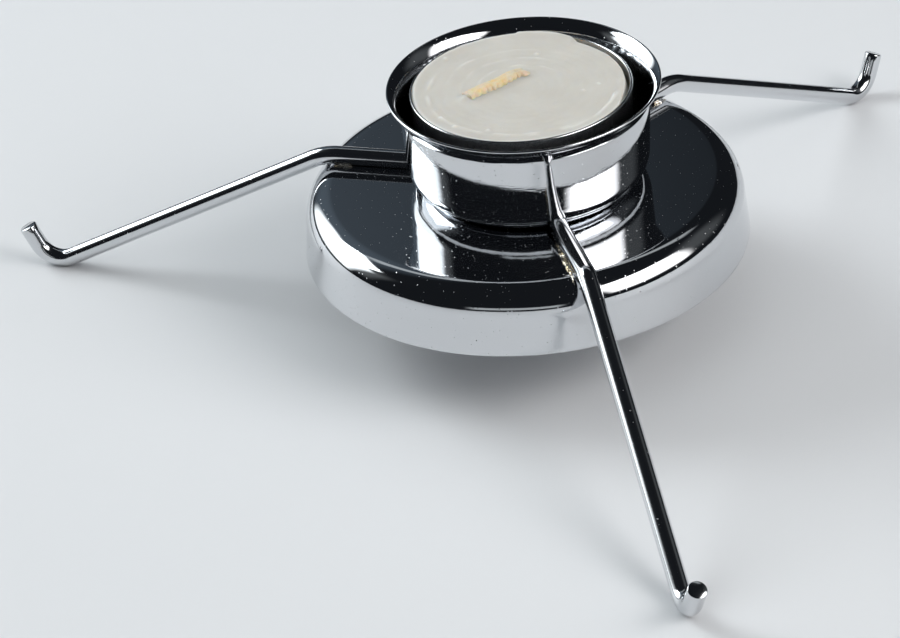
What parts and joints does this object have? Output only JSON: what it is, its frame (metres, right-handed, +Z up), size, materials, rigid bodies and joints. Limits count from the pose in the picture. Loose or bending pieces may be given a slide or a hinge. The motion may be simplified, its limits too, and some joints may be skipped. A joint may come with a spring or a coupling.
{
  "type": "tea light warmer",
  "caption": "Low table warmer: a shallow chromed dish on bent wire legs carries an open flared cup, which holds a tea light in its own thin metal case.",
  "frame": {"origin": "on the table, under the middle of the whole outline seen from above", "axes": "+Z up from the table; the front leg points along -Y; +X to the right when the front leg points at the viewer"},
  "size_m": [0.166, 0.1534, 0.0441],
  "materials": {
    "chrome": "bright chrome plate with a few fine pits",
    "case_aluminium": "thin rolled foil, softly bright",
    "wax": "pale grey-white paraffin, satin, with faint rings",
    "wick": "braided cotton soaked in wax",
    "tin": "plain tinned sheet"
  },
  "bodies": {
    "stand": {"heat_shield": "chrome", "candle_cup": "chrome", "leg_front": "chrome", "leg_right": "chrome", "leg_left": "chrome"},
    "tealight": {"tealight_case": "case_aluminium", "wax": "wax", "wick": "wick", "wick_sustainer": "tin"}
  },
  "joints": [
    {"name": "tealight_lift", "type": "slide", "parent": "stand", "child": "tealight", "axis": [0, 0, 1], "range_m": [0, 0.03]}
  ]
}
